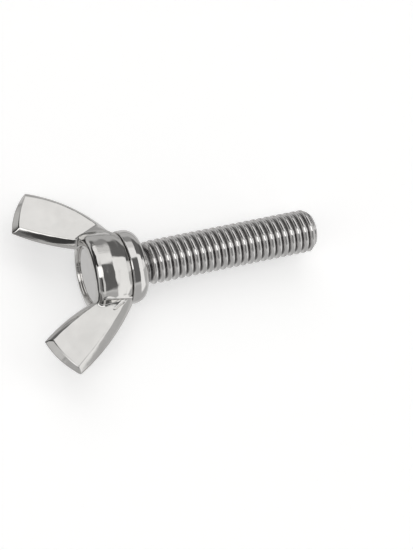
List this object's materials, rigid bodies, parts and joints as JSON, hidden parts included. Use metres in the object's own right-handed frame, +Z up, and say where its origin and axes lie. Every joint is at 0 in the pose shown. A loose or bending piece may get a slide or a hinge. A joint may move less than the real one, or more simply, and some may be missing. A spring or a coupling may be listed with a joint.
{
  "type": "wing screw",
  "caption": "Polished stainless wing screw: winged forged head on a headed stud with rolled coarse metric thread and a round-nosed captive collar.",
  "frame": {"origin": "on the thread axis, in the plane of the collar's bearing face", "axes": "+X along the thread towards its tip, Y across the wings, +Z up when the screw lies flat"},
  "size_m": [0.0404, 0.0262, 0.0106],
  "materials": {
    "wing_steel": "polished, as forged",
    "stud_steel": "bright rolled thread",
    "collar_steel": "polished"
  },
  "bodies": {
    "screw": {"wing_head": "wing_steel", "threaded_stud": "stud_steel"},
    "collar": {"collar": "collar_steel"}
  },
  "joints": [
    {"name": "collar_spin", "type": "hinge", "parent": "screw", "child": "collar", "pos_m": [-0.0012, 0, 0], "axis": [1, 0, 0], "continuous": true}
  ]
}
